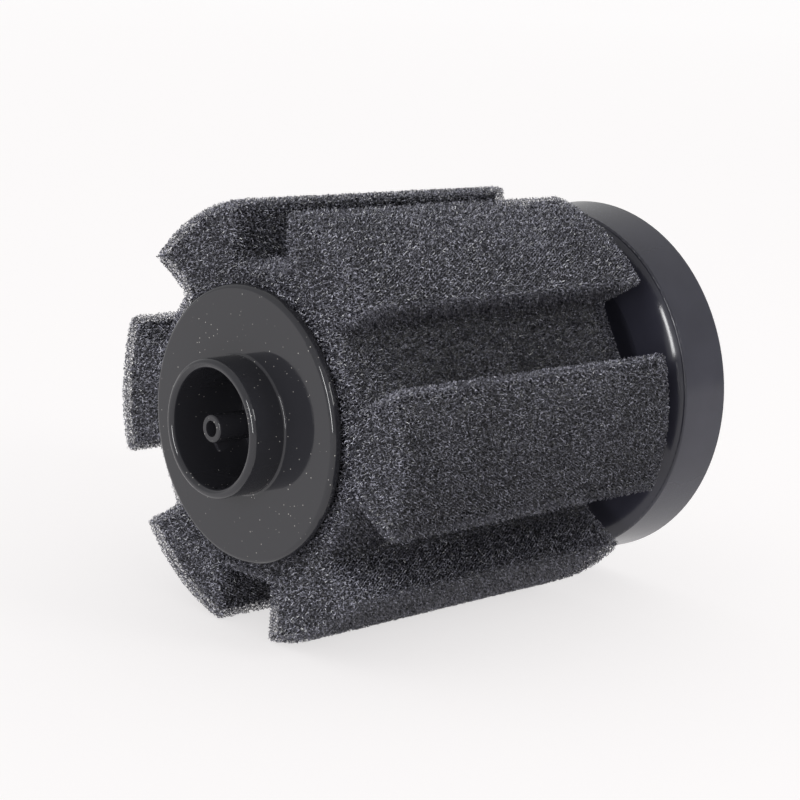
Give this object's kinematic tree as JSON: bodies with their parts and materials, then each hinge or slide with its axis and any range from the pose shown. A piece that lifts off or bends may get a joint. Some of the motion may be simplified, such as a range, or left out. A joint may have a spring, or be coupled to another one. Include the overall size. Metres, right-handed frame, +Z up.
{
  "type": "aquarium sponge filter",
  "caption": "Air-driven aquarium sponge filter: grooved foam sleeve on a slotted tube, with a weighted round base, a glossy cap with a riser collar, and an air nozzle.",
  "frame": {"origin": "centre of the base's underside, on the filter's axis", "axes": "+Z up the filter's axis from the base to the riser collar; +X through the middle of one foam lobe"},
  "size_m": [0.095, 0.0924, 0.1185],
  "materials": {
    "gloss_black_abs": "mirror-gloss injection moulded",
    "base_abs": "gloss injection moulded, very slightly hazed",
    "strainer_pp": "satin injection moulded",
    "reticulated_foam": "open-cell polyurethane foam, about 25 pores per inch",
    "ballast_steel": "zinc-plated pressed ring"
  },
  "bodies": {
    "base": {"base_shell": "base_abs", "base_bottom_cover": "base_abs", "ballast_ring": "ballast_steel"},
    "strainer": {"strainer_tube": "strainer_pp"},
    "sponge": {"sponge": "reticulated_foam"},
    "cap": {"top_cap": "gloss_black_abs"},
    "nozzle": {"air_nozzle": "gloss_black_abs", "air_diffuser": "gloss_black_abs"}
  },
  "joints": [
    {"name": "strainer_pull", "type": "slide", "parent": "base", "child": "strainer", "axis": [0, 0, 1], "range_m": [0, 0.2]},
    {"name": "sponge_slide", "type": "slide", "parent": "base", "child": "sponge", "axis": [0, 0, 1], "range_m": [0, 0.1]},
    {"name": "cap_pull", "type": "slide", "parent": "strainer", "child": "cap", "axis": [0, 0, 1], "range_m": [0, 0.02]},
    {"name": "nozzle_pull", "type": "slide", "parent": "cap", "child": "nozzle", "axis": [0, 0, 1], "range_m": [0, 0.03]}
  ],
  "couplings": [
    {"joint": "sponge_slide", "follows": "strainer_pull", "ratio": 0.5}
  ]
}
